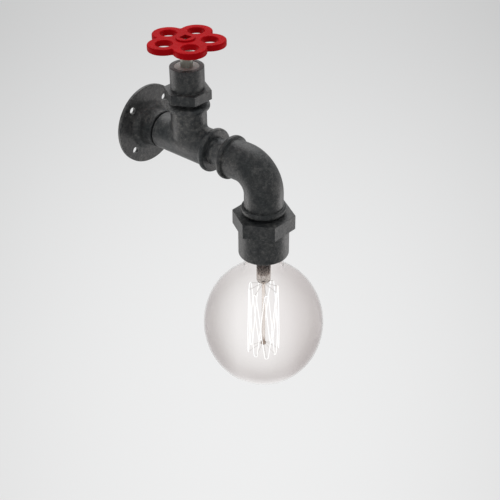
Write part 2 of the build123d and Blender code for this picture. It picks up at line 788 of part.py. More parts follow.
# -------------------------------------------------------------------------------- lamp
def flare_hub():
    """Direction of the globe's normal where the neck's flare meets it, and the arc's centre."""
    a, c = bulb_dia / 2, bulb_half_height
    low, high = 0.05, 1.45
    for _ in range(60):
        t = (low + high) / 2
        length = hypot(sin(t) / a, cos(t) / c)
        normal = (sin(t) / a / length, cos(t) / c / length)
        if a * sin(t) + neck_flare * normal[0] < neck_dia / 2 + neck_flare:
            low = t
        else:
            high = t
    return normal, (a * sin(t) + neck_flare * normal[0], c * cos(t) + neck_flare * normal[1])


def globe_solid(inset):
    """The lamp's outer form, or its hollow when inset by the glass thickness."""
    normal, hub = flare_hub()
    neck_r = neck_dia / 2 - inset
    flare = neck_flare + inset
    touch = (hub[0] - flare * normal[0], hub[1] - flare * normal[1])
    middle = (pi + atan2(-normal[1], -normal[0]) % (2 * pi)) / 2
    through = (hub[0] + flare * cos(middle), hub[1] + flare * sin(middle))
    top = cap_rim - neck_shoulder - bulb_centre
    outline = [
        Line((0, touch[1]), touch),
        ThreePointArc(touch, through, (neck_r, hub[1])),
        Line((neck_r, hub[1]), (neck_r, top)),
        Line((neck_r, top), (0, top)),
        Line((0, top), (0, touch[1]))]
    neck = revolve(Plane.XZ * make_face(outline), Axis.Z)
    globe = ellipsoid(bulb_dia / 2 - inset, bulb_half_height - inset)
    return Pos(0, 0, bulb_centre) * (globe + neck)


def ellipsoid(half_width, half_height):
    """Globe about Z."""
    half = EllipticalCenterArc((0, 0), half_width, half_height, start_angle=-90, arc_size=180)
    face = make_face([half, Line((0, half_height), (0, -half_height))])
    return revolve(Plane.XZ * face, Axis.Z)


def bulb_glass():
    """Blown envelope, one closed skin, drawn in at the top to enter the cap."""
    shoulder = cap_rim - neck_shoulder
    drawn_in = cap_rim - 2 * neck_fit
    throat = turned([(0, shoulder), (neck_dia / 2, shoulder), (seal_r, drawn_in),
                     (seal_r, cap_rim + neck_inside_cap), (0, cap_rim + neck_inside_cap)])
    hollow_r = seal_r - bulb_wall
    hollow = turned([(0, shoulder), (neck_dia / 2 - bulb_wall, shoulder),
                     (hollow_r, drawn_in - bulb_wall / 2),
                     (hollow_r, cap_rim + neck_inside_cap + cut_over),
                     (0, cap_rim + neck_inside_cap + cut_over)])
    return on_lamp((globe_solid(0) + throat) - (globe_solid(bulb_wall) + hollow))


def bulb_mount():
    """Flared glass tube sealed into the neck, pinched solid at its lower end."""
    seal = cap_rim + neck_inside_cap
    seat = seal + seal_overlap
    foot = seal - mount_flare
    r = mount_dia / 2
    skirt_r = seal_r - bulb_wall - neck_fit
    body = turned([(r - mount_wall, foot), (r, foot), (skirt_r, seat), (seal_r, seat),
                   (seal_r, seal + mount_wall), (skirt_r, seal + mount_wall),
                   (r - mount_wall, foot + mount_wall)])
    body += tube(r, r - mount_wall, mount_tip + pinch_length - cut_over, foot + mount_wall / 2)
    pinch = rod(r, mount_tip, mount_tip + pinch_length)
    body += fillet(pinch.edges().group_by(Axis.Z)[0], pinch_round)
    return on_lamp(body)


def bulb_rod():
    """Glass rod down the middle of the cage, ending in a button for the supports."""
    tip = cup_rim - rod_drop
    body = rod(rod_dia / 2, tip + rod_button_length / 2, mount_tip)
    button = rod(rod_button_dia / 2, tip, tip + rod_button_length)
    button = fillet(button.edges().filter_by(GeomType.CIRCLE), rod_button_round)
    return on_lamp(body + button)


def cage_point(radius, angle, height):
    """Point on one strand's cylinder."""
    return (radius * cos(radians(angle)), radius * sin(radians(angle)), cage_centre + height)


def strand(name, radius, top_angle):
    """One unbroken filament wire: up and down round the cage, open at one top loop."""
    half_loop = degrees(loop_width / 2 / radius)
    half_step = 180 / cage_loops
    top = cage_height / 2 - strand_dia / 2
    route = [cage_point(radius, top_angle + half_loop, top)]
    for leg in range(2 * cage_loops):
        up = 1 if leg % 2 == 0 else -1
        start = top_angle + leg * half_step
        route.append(cage_point(radius, start + half_step / 3, up * top / 2))
        route.append(cage_point(radius, start + half_step * 2 / 3, -up * top / 2))
        if leg < 2 * cage_loops - 1:
            route.append(cage_point(radius, start + half_step - half_loop, -up * top))
            route.append(cage_point(radius, start + half_step + half_loop, -up * top))
    route.append(cage_point(radius, top_angle + 360 - half_loop, top))
    bends = []
    for before, here, after in zip(route, route[1:], route[2:]):
        into = Vector(*here) - Vector(*before)
        out = Vector(*after) - Vector(*here)
        shorter = min(into.length, out.length)
        bends.append(0.45 * shorter / tan(radians(into.get_angle(out)) / 2))
    path = FilletPolyline(*route, radius=bends)
    section = Plane(origin=route[0], z_dir=path % 0) * Circle(strand_dia / 2)
    body = sweep(section, path=path)
    print(f"{name}: least bend {min(bends):.2f}, least self-gap {self_gap(path):.2f}")
    return on_lamp(body)


def self_gap(path):
    """Least gap between two stretches of a wire that don't follow each other."""
    count = 480
    points = [path @ (k / count) for k in range(count + 1)]
    apart = int(count * 2.5 * loop_width / path.length)
    least = min((points[i] - points[j]).length
                for i in range(0, count + 1) for j in range(i + apart, count + 1))
    return least - strand_dia


def filament(index):
    """One of the two strands; their loops alternate round the cage."""
    return strand(f"filament_{index + 1}", strand_radii[index], strand_tops[index])


def spoke(start, end, dia):
    """Straight wire between two points."""
    span = Vector(*end) - Vector(*start)
    return Plane(origin=start, z_dir=span) * rod(dia / 2, 0, span.length)


def filament_supports():
    """Fine wires from the rod and its button to every loop that has no lead wire."""
    wires = []
    step = 360 / cage_loops
    top_z = mount_tip - support_head
    foot_z = cup_rim - rod_drop + rod_button_length / 2
    head_r = support_grip * rod_dia / 2
    foot_r = support_grip * rod_button_dia / 2
    for radius, first in zip(strand_radii, strand_tops):
        reach = radius - strand_dia / 2 - support_fit
        for k in range(cage_loops):
            bottom_angle = first + 180 / cage_loops + k * step
            low = cage_point(reach, bottom_angle, strand_dia / 2 - cage_height / 2)
            foot = (foot_r * cos(radians(bottom_angle)), foot_r * sin(radians(bottom_angle)),
                    foot_z)
            wires.append(spoke(foot, low, support_dia))
            if k > 0:
                top_angle = first + k * step
                high = cage_point(reach, top_angle, cage_height / 2 - strand_dia / 2)
                head = (head_r * cos(radians(top_angle)), head_r * sin(radians(top_angle)),
                        top_z)
                wires.append(spoke(head, high, support_dia))
    return on_lamp(Compound(children=wires))


def lead_wires():
    """Two wires down the mount, each ending in a fork to both strands' open loops."""
    wires = []
    for side in (-1, 1):
        x = side * lead_wire_spacing / 2
        wires.append(Pos(x, 0, 0) * rod(lead_wire_dia / 2, mount_tip + lead_wire_sink,
                                        cap_rim + neck_inside_cap))
    for radius, first in zip(strand_radii, strand_tops):
        half_loop = degrees(loop_width / 2 / radius)
        reach = radius - strand_dia / 2 - support_fit
        for turn in (-1, 1):
            angle = first + turn * half_loop
            end = cage_point(reach, angle, cage_height / 2 - strand_dia / 2)
            lean = radians(first + turn * fork_spread)
            start = (mount_dia / 4 * cos(lean), mount_dia / 4 * sin(lean),
                     mount_tip + lead_wire_sink)
            wires.append(spoke(start, end, lead_wire_dia))
    return on_lamp(Compound(children=wires))


def cap_shell():
    """Nickel-plated shell with the lamp's round-topped thread."""
    root_r = cap_root_dia / 2
    crest_r = cap_crest_dia / 2
    first = cap_rim + cap_collar_height + lamp_pitch / 2
    collar_r = cap_collar_dia / 2
    outer = [(collar_r, cap_rim), (collar_r, cap_rim + cap_collar_height - cap_collar_neck),
             (root_r, cap_rim + cap_collar_height)]
    for crest in range(cap_crests):
        middle = first + crest * lamp_pitch
        root = (lamp_pitch - cap_root_flat) / 2
        outer += [(root_r, middle - root), (crest_r, middle - cap_crest_flat / 2),
                  (crest_r, middle + cap_crest_flat / 2), (root_r, middle + root)]
    outer += [(root_r, cap_top), (cap_shoulder_dia / 2, cap_shoulder_top)]
    inner = [(root_r - cap_sheet, cap_rim), (root_r - cap_sheet, cap_top - cap_sheet / 3),
             (cap_shoulder_dia / 2 - cap_sheet, cap_shoulder_top)]
    return on_lamp(turned(outer + inner[::-1]))


def cap_insulator():
    """Black glass cone that keeps the centre contact off the shell."""
    low = cap_shoulder_top
    body = turned([(0, low), (cap_shoulder_dia / 2 - neck_fit, low),
                   (contact_dia / 2 + insulator_land, insulator_top), (0, insulator_top)])
    return on_lamp(body)


def cap_contact():
    """Soldered centre contact."""
    disc = rod(contact_dia / 2, insulator_top, contact_top)
    return on_lamp(fillet(disc.edges().group_by(Axis.Z)[-1], contact_round))


# ------------------------------------------------------------------------------- export
def all_parts():
    """Every sub-part by its node name."""
    return {
        "wall_flange": wall_flange(),
        "rear_nipple": nipple(nipple_recess, tee_rear + thread_engagement),
        "tee": tee(),
        "arm_nipple": nipple(tee_front - thread_engagement, elbow_face + thread_engagement),
        "elbow": elbow(),
        "lamp_cup": lamp_cup(),
        "bonnet": bonnet(),
        "bonnet_bush": bonnet_bush(),
        "handwheel": handwheel(),
        "spindle": spindle(),
        "dimmer_case": dimmer_case(),
        "dimmer_base": dimmer_base(),
        "dimmer_tags": dimmer_tags(),
        "dimmer_rotor": dimmer_rotor(),
        "dimmer_washer": dimmer_washer(),
        "dimmer_nut": dimmer_nut(),
        "terminal_block": terminal_block(),
        "terminal_inserts": terminal_inserts(),
        "terminal_screws": terminal_screws(),
        "live_lead": live_lead(),
        "switched_live_lead": switched_live_lead(),
        "neutral_lead": neutral_lead(),
        "earth_lead": earth_lead(),
        "earth_tag": earth_tag(),
        "lampholder_body": lampholder_body(),
        "lampholder_screws": lampholder_screws(),
        "holder_terminals": holder_terminals(),
        "holder_terminal_screws": holder_terminal_screws(),
        "centre_contact": centre_contact(),
        "screw_shell": screw_shell(),
        "cap_contact": cap_contact(),
        "cap_insulator": cap_insulator(),
        "cap_shell": cap_shell(),
        "bulb_glass": bulb_glass(),
        "bulb_mount": bulb_mount(),
        "bulb_rod": bulb_rod(),
        "filament_1": filament(0),
        "filament_2": filament(1),
        "filament_supports": filament_supports(),
        "lead_wires": lead_wires(),
    }


os.makedirs("parts", exist_ok=True)
for node, shape in all_parts().items():
    export_step(shape, f"parts/{node}.step")
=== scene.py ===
"""Looks of the industrial pipe wall light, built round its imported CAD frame.  Metres."""
import math

import bpy
from mathutils import Matrix, Vector


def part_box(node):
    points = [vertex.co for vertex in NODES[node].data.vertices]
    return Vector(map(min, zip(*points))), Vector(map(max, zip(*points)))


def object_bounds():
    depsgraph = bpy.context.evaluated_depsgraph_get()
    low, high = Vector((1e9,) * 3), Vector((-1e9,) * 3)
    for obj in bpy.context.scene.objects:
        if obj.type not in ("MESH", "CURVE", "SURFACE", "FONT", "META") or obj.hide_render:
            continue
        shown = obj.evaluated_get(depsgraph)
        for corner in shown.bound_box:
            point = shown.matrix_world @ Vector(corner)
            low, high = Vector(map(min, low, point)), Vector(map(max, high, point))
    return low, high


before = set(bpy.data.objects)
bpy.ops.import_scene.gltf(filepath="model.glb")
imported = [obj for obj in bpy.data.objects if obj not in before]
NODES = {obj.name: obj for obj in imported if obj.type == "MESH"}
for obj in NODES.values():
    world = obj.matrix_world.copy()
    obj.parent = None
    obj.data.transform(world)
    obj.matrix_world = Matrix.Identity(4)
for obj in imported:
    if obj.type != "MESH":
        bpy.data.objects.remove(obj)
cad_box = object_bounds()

MM = 0.001

# ------------------------------------------------------------------------------ camera
PHOTO_SIDE = 500              # the photograph's frame, pixels
FOCAL_PIXELS = 999.5
SENSOR_MM = 36.0
AZIMUTH, ELEVATION, ROLL = (math.radians(angle) for angle in (-48.76, 33.43, -0.38))
TARGET = Vector((0.0, -106.2, -74.85)) * MM
DISTANCE = 770.3 * MM
CLIP = 0.01, 50.0             # the nearest and furthest that it sees

# The studio is set out from the photograph's viewpoint: to its right, ahead of it and up.
VIEW_RIGHT = Vector((math.cos(AZIMUTH), math.sin(AZIMUTH), 0.0))
VIEW_AHEAD = Vector((-math.sin(AZIMUTH), math.cos(AZIMUTH), 0.0))
UP = Vector((0.0, 0.0, 1.0))


def studio(right, ahead, up):
    """A place in the studio, from the middle of the object."""
    return TARGET + VIEW_RIGHT * right + VIEW_AHEAD * ahead + UP * up


def add_camera():
    """The photograph's viewpoint."""
    back = UP * math.sin(ELEVATION) - VIEW_AHEAD * math.cos(ELEVATION)
    over = back.cross(VIEW_RIGHT)
    across = VIEW_RIGHT * math.cos(ROLL) + over * math.sin(ROLL)
    upward = over * math.cos(ROLL) - VIEW_RIGHT * math.sin(ROLL)
    data = bpy.data.cameras.new("camera")
    data.sensor_width = SENSOR_MM
    data.lens = SENSOR_MM * FOCAL_PIXELS / PHOTO_SIDE
    data.clip_start, data.clip_end = CLIP
    camera = bpy.data.objects.new("camera", data)
    place = Matrix((across, upward, back)).transposed().to_4x4()
    place.translation = TARGET + back * DISTANCE
    camera.matrix_world = place
    bpy.context.scene.collection.objects.link(camera)
    bpy.context.scene.camera = camera


# ------------------------------------------------------------------------ node helpers
BEVEL_SAMPLES = 6
NOISE_SPAN = 0.3, 0.7         # most of a noise's values lie between these


def in_use(sockets, name):
    """The socket of a name that is in use: a Mix node has one for each kind of data."""
    return next(socket for socket in sockets if socket.name == name and socket.enabled)


def scaled(colour, factor):
    """A colour made lighter or darker."""
    return tuple(factor * part for part in colour)


class Nodes:
    """A node tree, with short calls for the nodes that repeat."""

    def __init__(self, tree):
        self.tree = tree

    def add(self, kind, **settings):
        """A new node of a kind, with its settings."""
        made = self.tree.nodes.new(kind)
        for key, value in settings.items():
            setattr(made, key, value)
        return made

    def join(self, source, target):
        """A link from an output to an input."""
        self.tree.links.new(source, target)

    def feed(self, target, value):
        """Joins a socket, or sets a number, vector or colour."""
        if isinstance(value, bpy.types.NodeSocket):
            self.join(value, target)
        elif isinstance(value, tuple) and target.type == "RGBA":
            target.default_value = (*value, 1.0)
        else:
            target.default_value = value

    def levels(self, factor, low, high, out_low, out_high, curve="LINEAR"):
        """Remap of a factor, clamped."""
        made = self.add("ShaderNodeMapRange", interpolation_type=curve)
        for name, value in zip(("Value", "From Min", "From Max", "To Min", "To Max"),
                               (factor, low, high, out_low, out_high)):
            self.feed(made.inputs[name], value)
        return made.outputs["Result"]

    def calc(self, operation, *values):
        """A sum, product or the like of its values."""
        made = self.add("ShaderNodeMath", operation=operation)
        for socket, value in zip(made.inputs, values):
            self.feed(socket, value)
        return made.outputs["Value"]

    def blend(self, factor, first, second, mode="MIX"):
        """A blend of two colours; the factor is the share of the second."""
        made = self.add("ShaderNodeMix", data_type="RGBA", blend_type=mode)
        for name, value in (("Factor", factor), ("A", first), ("B", second)):
            self.feed(in_use(made.inputs, name), value)
        return in_use(made.outputs, "Result")

    def seen_directly(self):
        """1 for camera, glossy and transmission rays, which show the pale background."""
        path = self.add("ShaderNodeLightPath")
        near = self.calc("MAXIMUM", path.outputs["Is Camera Ray"], path.outputs["Is Glossy Ray"])
        return self.calc("MAXIMUM", near, path.outputs["Is Transmission Ray"])


class Shading(Nodes):
    """One material's node tree round its Principled shader, in the piece's own coordinates."""

    def __init__(self, name):
        self.material = bpy.data.materials.new(name)
        self.material.use_nodes = True
        super().__init__(self.material.node_tree)
        self.shader = self.tree.nodes["Principled BSDF"]
        self.output = self.tree.nodes["Material Output"]
        self.coords = self.add("ShaderNodeTexCoord").outputs["Object"]

    def set(self, **values):
        """Plain values on the shader's own sockets; underscores stand for spaces."""
        for key, value in values.items():
            self.shader.inputs[key.replace("_", " ")].default_value = value

    def noise(self, scale, detail, roughness, stretch=(1, 1, 1), shift=(0, 0, 0)):
        """Noise of a scale per metre, stretched where a part of stretch is under 1."""
        placed = self.add("ShaderNodeMapping")
        self.feed(placed.inputs["Vector"], self.coords)
        self.feed(placed.inputs["Scale"], stretch)
        self.feed(placed.inputs["Location"], shift)
        made = self.add("ShaderNodeTexNoise")
        for name, value in (("Vector", placed.outputs["Vector"]), ("Scale", scale),
                            ("Detail", detail), ("Roughness", roughness)):
            self.feed(made.inputs[name], value)
        return made.outputs["Fac"]

    def spread(self, noise, least, most):
        """A noise's usual values, remapped to lie between the least and the most."""
        return self.levels(noise, *NOISE_SPAN, least, most)

    def along(self, direction):
        """How far a point lies along a direction, in the piece's own coordinates."""
        made = self.add("ShaderNodeVectorMath", operation="DOT_PRODUCT")
        self.feed(made.inputs[0], self.coords)
        self.feed(made.inputs[1], direction)
        return made.outputs["Value"]

    def rise(self, node):
        """0 at the bottom of a CAD node and 1 at its top."""
        low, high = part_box(node)
        return self.levels(self.along(UP), low[2], high[2], 0.0, 1.0)

    def edges(self, radius, sharp, flat):
        """1 on edges sharper than the radius, fading to 0 on flat or gently curved ground."""
        rounded = self.add("ShaderNodeBevel", samples=BEVEL_SAMPLES)
        self.feed(rounded.inputs["Radius"], radius)
        surface = self.add("ShaderNodeNewGeometry").outputs["Normal"]
        turn = self.add("ShaderNodeVectorMath", operation="DOT_PRODUCT")
        self.feed(turn.inputs[0], rounded.outputs["Normal"])
        self.feed(turn.inputs[1], surface)
        return self.levels(turn.outputs["Value"], sharp, flat, 1.0, 0.0)

    def ramp(self, factor, *stops):
        """Colour ramp from (position, colour) stops."""
        made = self.add("ShaderNodeValToRGB")
        elements = made.color_ramp.elements
        while len(elements) < len(stops):
            elements.new(0.5)
        for element, (position, colour) in zip(elements, stops):
            element.position = position
            element.color = (*colour, 1.0)
        self.join(factor, made.inputs["Fac"])
        return made.outputs["Color"]

    def bump(self, height, depth, strength, under=None):
        """Surface relief of a depth in metres, on top of another relief if one is given."""
        made = self.add("ShaderNodeBump")
        self.feed(made.inputs["Strength"], strength)
        self.feed(made.inputs["Distance"], depth)
        self.feed(made.inputs["Height"], height)
        if under is not None:
            self.feed(made.inputs["Normal"], under)
        return made.outputs["Normal"]

    def colour(self, source):
        self.join(source, self.shader.inputs["Base Color"])

    def rough(self, source):
        self.join(source, self.shader.inputs["Roughness"])

    def normal(self, source):
        self.join(source, self.shader.inputs["Normal"])


# --------------------------------------------------------------------------- materials
# Colours are linear.
WEAR_AND_HIGHLIGHT_REACH = 0.7 * MM          # how far the lighter edges reach: partly wear, partly painted highlight
CAST_RELIEF = 0.4 * MM
GRIT_RELIEF = 0.15 * MM
PEEL_RELIEF = 0.12 * MM
TURNED_RELIEF = 0.04 * MM
MOULDED_RELIEF = 0.03 * MM
GLASS_RELIEF = 0.2 * MM
GLOBE_RELIEF = 0.4 * MM
DRAWN = (1, 1, 0.03)          # stretches a noise into streaks along Z
TURNED = (1, 1, 12)           # squeezes a noise into rings about Z
STRIPES = 110                 # the scale of the earth lead's bands: a pair every 2.9 mm
WHITE = (1.0, 1.0, 1.0)


def black_iron(name, shift, tone_and_painted_light):
    """Blackened cast iron: stains, mottling, pale specks; edges lighter from wear and painted
    highlight.

    The tone lightens the whole skin: painted light for the tee and the arm nipple, which miss
    light, and for the arm nipple also the plainer finish of drawn pipe.
    """
    look = Shading(name)
    stains = look.noise(42, 4, 0.6, shift=shift)
    scuffs = look.noise(150, 5, 0.7, shift=shift)
    mottle = look.noise(320, 6, 0.72, shift=shift)
    specks = look.noise(950, 2, 0.5, shift=shift)
    ground = look.ramp(mottle, (0.30, (0.013, 0.0145, 0.0155)), (0.45, (0.029, 0.0305, 0.032)),
                       (0.56, (0.052, 0.052, 0.0515)), (0.70, (0.119, 0.117, 0.113)))
    # The tone scales this tint: above 1 it is painted light.
    tint = look.ramp(stains, (0.36, scaled((0.58, 0.64, 0.66), tone_and_painted_light)),
                     (0.50, scaled((0.98, 0.98, 0.97), tone_and_painted_light)),
                     (0.64, scaled((1.48, 1.44, 1.39), tone_and_painted_light)))
    skin = look.blend(1.0, ground, tint, "MULTIPLY")
    scuffed = look.blend(look.levels(scuffs, 0.55, 0.66, 0.0, 0.38), skin, (0.110, 0.108, 0.105))
    rubbed = look.calc("MULTIPLY", look.levels(specks, 0.60, 0.70, 0.0, 0.7),
                       look.levels(stains, 0.42, 0.60, 0.25, 1.0))
    speckled = look.blend(rubbed, scuffed, (0.17, 0.167, 0.162))
    # Lighter edges: partly wear, partly painted highlight.
    edge_wear_and_highlight = look.calc("MULTIPLY", look.edges(WEAR_AND_HIGHLIGHT_REACH, 0.80, 0.975),
                     look.levels(mottle, 0.35, 0.6, 0.2, 0.8))
    look.colour(look.blend(edge_wear_and_highlight, speckled, (0.21, 0.205, 0.20)))
    look.rough(look.spread(mottle, 0.30, 0.50))
    cast = look.bump(mottle, CAST_RELIEF, 0.7)
    look.normal(look.bump(specks, GRIT_RELIEF, 0.7, cast))
    look.set(Metallic=0.0, Specular_IOR_Level=0.30)
    return look.material


def red_enamel():
    """Deep red plastic coating with slight colour drift and a soft orange-peel surface."""
    look = Shading("red_enamel")
    drift = look.noise(60, 3, 0.5)
    peel = look.noise(420, 2, 0.5)
    # The faint green and blue in the red are a painted sheen, spread evenly over the wheel.
    look.colour(look.ramp(drift, (0.35, (0.40, 0.0030, 0.006)), (0.65, (0.48, 0.0040, 0.008))))
    look.rough(look.spread(peel, 0.34, 0.46))
    look.normal(look.bump(peel, PEEL_RELIEF, 0.35))
    look.set(Specular_IOR_Level=0.015)
    return look.material


def bare_metal(name, dark, light, roughness, metallic):
    """Bare turned or drawn metal, with fine lines round the piece and soft stains."""
    look = Shading(name)
    lines = look.noise(500, 4, 0.6, stretch=TURNED)
    stains = look.noise(90, 3, 0.5)
    look.colour(look.blend(look.spread(stains, 0.0, 1.0), dark, light))
    look.rough(look.spread(lines, roughness - 0.07, roughness + 0.07))
    look.normal(look.bump(lines, TURNED_RELIEF, 0.4))
    look.set(Metallic=metallic)
    return look.material


def moulded(name, dark, light, roughness):
    """Moulded or extruded plastic with a faint flow pattern."""
    look = Shading(name)
    flow = look.noise(140, 3, 0.5)
    skin = look.noise(1200, 2, 0.5)
    look.colour(look.blend(look.levels(flow, 0.35, 0.65, 0.0, 1.0), dark, light))
    look.rough(look.spread(skin, roughness - 0.05, roughness + 0.05))
    look.normal(look.bump(skin, MOULDED_RELIEF, 0.3))
    return look.material


def striped_lead(name, ground, stripe):
    """Earth insulation: two colours in bands across Y, along which the lead mostly runs."""
    look = Shading(name)
    wave = look.add("ShaderNodeTexWave", wave_type="BANDS", bands_direction="Y")
    look.feed(wave.inputs["Scale"], STRIPES)
    look.join(look.coords, wave.inputs["Vector"])
    look.colour(look.ramp(wave.outputs["Fac"], (0.48, ground), (0.52, stripe)))
    skin = look.noise(1200, 2, 0.5)
    look.rough(look.spread(skin, 0.40, 0.50))
    return look.material


def smoked_glass():
    """Thin smoky glass, with a faint even painted glow that stands in for its filament's light.

    It is clear where seen square on and darker towards its rim. Painted shade darkens its left
    and right as the camera sees them, painted light pales it underneath in the middle, and it is
    paler towards its neck.
    """
    look = Shading("smoked_glass")
    clear = (1.0, 0.985, 0.98)
    low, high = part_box("bulb_glass")
    middle = (Vector(low) + Vector(high)) / 2
    reach = (high[0] - low[0]) / 2
    facing = look.add("ShaderNodeLayerWeight")
    look.feed(facing.inputs["Blend"], 0.5)
    smoke = look.ramp(facing.outputs["Facing"], (0.09, clear),
                      (0.30, (0.91, 0.892, 0.885)), (0.44, (0.835, 0.812, 0.805)),
                      (0.62, (0.79, 0.765, 0.76)), (0.88, (0.86, 0.84, 0.838)))
    height = look.calc("SUBTRACT", look.along(UP), low[2])
    aside = look.calc("SUBTRACT", look.along(VIEW_RIGHT), middle.dot(VIEW_RIGHT))
    # Painted light: paler low down, in the middle as the camera sees it.
    central = look.levels(look.calc("ABSOLUTE", aside), 0.30 * reach, 0.70 * reach, 1.0, 0.0)
    painted_light_height = look.calc("MULTIPLY", look.levels(height, 0.36 * reach, 0.62 * reach, 0.9, 0.0),
                         look.levels(height, 0.02 * reach, 0.14 * reach, 0.2, 1.0))
    under = look.calc("MULTIPLY", painted_light_height, central)
    over = look.levels(height, 1.25 * reach, 1.75 * reach, 0.0, 0.45)
    pale = look.blend(look.calc("MAXIMUM", under, over), smoke, clear)
    # Painted shade: darker at its left and right, as the camera sees it.
    drift = look.ramp(look.levels(aside, -reach, reach, 0.0, 1.0), (0.06, (0.93, 0.925, 0.925)),
                      (0.28, WHITE), (0.55, WHITE), (0.80, (0.93, 0.92, 0.92)))
    look.colour(look.blend(1.0, pale, drift, "MULTIPLY"))
    ripple = look.noise(26, 2, 0.5)
    look.normal(look.bump(ripple, GLOBE_RELIEF, 0.2))
    # Painted glow: a faint even emission that stands in for the filament's light in the glass.
    look.set(Transmission_Weight=1.0, Roughness=0.0, IOR=1.06,
             Emission_Color=(1.0, 0.97, 0.94, 1.0), Emission_Strength=0.009)
    return look.material


def mount_glass():
    """Mount glass: brownish, with painted shade from the cap at its top; clearer and streaked at
    its end.
    """
    look = Shading("mount_glass")
    streaks = look.noise(700, 3, 0.6, stretch=DRAWN)
    # Painted shade: darker towards the top, under the cap.
    brown_and_painted_shade = look.ramp(look.rise("bulb_mount"), (0.0, (1.0, 0.96, 0.92)),
                      (0.14, (0.95, 0.88, 0.83)), (0.30, (0.62, 0.56, 0.53)),
                      (0.48, (0.14, 0.115, 0.11)))
    grain = look.ramp(streaks, (0.35, (0.55, 0.54, 0.53)), (0.65, WHITE))
    look.colour(look.blend(1.0, brown_and_painted_shade, grain, "MULTIPLY"))
    look.normal(look.bump(streaks, GLASS_RELIEF, 0.4))
    look.set(Transmission_Weight=0.75, Roughness=0.12, IOR=1.1)
    return look.material


def rod_glass():
    """Glass of the rod, with drawn streaks along it, and its browner button."""
    look = Shading("rod_glass")
    streaks = look.noise(900, 3, 0.6, stretch=DRAWN)
    beige = look.ramp(look.rise("bulb_rod"), (0.06, (0.42, 0.34, 0.29)),
                      (0.14, (0.90, 0.85, 0.81)), (0.80, (0.95, 0.90, 0.86)),
                      (1.0, (0.90, 0.80, 0.73)))
    grain = look.ramp(streaks, (0.35, (0.86, 0.85, 0.84)), (0.65, WHITE))
    look.colour(look.blend(1.0, beige, grain, "MULTIPLY"))
    look.normal(look.bump(streaks, GLASS_RELIEF, 0.4))
    look.set(Transmission_Weight=0.9, Roughness=0.06, IOR=1.15)
    return look.material


def black_glass():
    """Opaque black glass of the cap."""
    look = Shading("black_glass")
    swirl = look.noise(220, 3, 0.5)
    look.colour(look.ramp(swirl, (0.3, (0.010, 0.010, 0.012)), (0.7, (0.03, 0.03, 0.034))))
    look.rough(look.spread(swirl, 0.08, 0.16))
    return look.material


def glowing_wire():
    """Filament wire, white hot with a slight drift in heat along it."""
    look = Shading("glowing_wire")
    heat = look.noise(120, 2, 0.5)
    glow = look.ramp(heat, (0.3, (0.93, 0.97, 1.0)), (0.7, (1.0, 0.99, 0.96)))
    look.join(glow, look.shader.inputs["Emission Color"])
    look.set(Base_Color=(0.05, 0.05, 0.05, 1.0), Emission_Strength=1.1, Roughness=0.5)
    return look.material


# ------------------------------------------------------------------------ CAD finishes
# Each iron piece's own place in the noise, and its tone: above 1 it is painted light.
IRON = {"wall_flange": ((0.3, 0, 0), 1.0), "tee": ((0, 0, 0.4), 1.3),
        "arm_nipple": ((0.1, 0.5, 0), 2.0), "elbow": ((0.7, 0.1, 0), 1.0),
        "lamp_cup": ((0, 0.9, 0.2), 1.0), "bonnet": ((0.5, 0, 0.8), 1.0)}


def finish_nodes():
    """Gives each CAD node its material."""
    finishes = {name: black_iron(f"black_iron_{name}", shift, tone_and_painted_light)
                for name, (shift, tone_and_painted_light) in IRON.items()}
    bush = bare_metal("bush_metal", (0.245, 0.255, 0.24), (0.345, 0.36, 0.335), 0.50, 0.2)
    stem = bare_metal("stem_metal", (0.22, 0.23, 0.19), (0.34, 0.35, 0.31), 0.42, 0.5)
    zinc = bare_metal("zinc", (0.50, 0.51, 0.53), (0.62, 0.63, 0.65), 0.34, 1.0)
    brass = bare_metal("brass", (0.60, 0.43, 0.18), (0.74, 0.56, 0.28), 0.30, 1.0)
    nickel = bare_metal("nickel", (0.62, 0.60, 0.56), (0.74, 0.72, 0.68), 0.22, 1.0)
    solder = bare_metal("solder", (0.52, 0.52, 0.52), (0.66, 0.66, 0.66), 0.38, 1.0)
    steel = bare_metal("steel", (0.42, 0.42, 0.43), (0.55, 0.55, 0.56), 0.22, 1.0)
    fine = bare_metal("fine_wire", (0.80, 0.79, 0.77), (0.90, 0.89, 0.87), 0.45, 0.1)
    phenolic = moulded("phenolic", (0.018, 0.017, 0.016), (0.034, 0.031, 0.028), 0.32)
    nylon = moulded("nylon", (0.74, 0.72, 0.68), (0.84, 0.83, 0.79), 0.50)
    wire = glowing_wire()
    finishes.update({
        "rear_nipple": steel, "bonnet_bush": bush, "spindle": stem,
        "handwheel": red_enamel(),
        "dimmer_case": zinc, "dimmer_rotor": zinc, "dimmer_washer": zinc, "dimmer_nut": zinc,
        "terminal_screws": zinc, "lampholder_screws": zinc, "holder_terminal_screws": zinc,
        "dimmer_tags": brass, "terminal_inserts": brass, "earth_tag": brass,
        "holder_terminals": brass, "centre_contact": brass, "screw_shell": brass,
        "dimmer_base": phenolic, "lampholder_body": phenolic, "terminal_block": nylon,
        "live_lead": moulded("brown_pvc", (0.16, 0.07, 0.035), (0.24, 0.11, 0.055), 0.45),
        "switched_live_lead": moulded("black_pvc", (0.02, 0.02, 0.02), (0.04, 0.04, 0.04), 0.45),
        "neutral_lead": moulded("blue_pvc", (0.02, 0.10, 0.34), (0.05, 0.18, 0.48), 0.45),
        "earth_lead": striped_lead("earth_pvc", (0.08, 0.36, 0.07), (0.75, 0.66, 0.05)),
        "cap_contact": solder, "cap_insulator": black_glass(), "cap_shell": nickel,
        "bulb_glass": smoked_glass(), "bulb_mount": mount_glass(), "bulb_rod": rod_glass(),
        "filament_1": wire, "filament_2": wire, "filament_supports": fine, "lead_wires": fine})
    unmatched = sorted(set(NODES) ^ set(finishes))
    if unmatched:
        raise RuntimeError(f"nodes and finishes differ: {unmatched}")
    for name, finish in finishes.items():
        for slot in NODES[name].material_slots:
            slot.material = finish


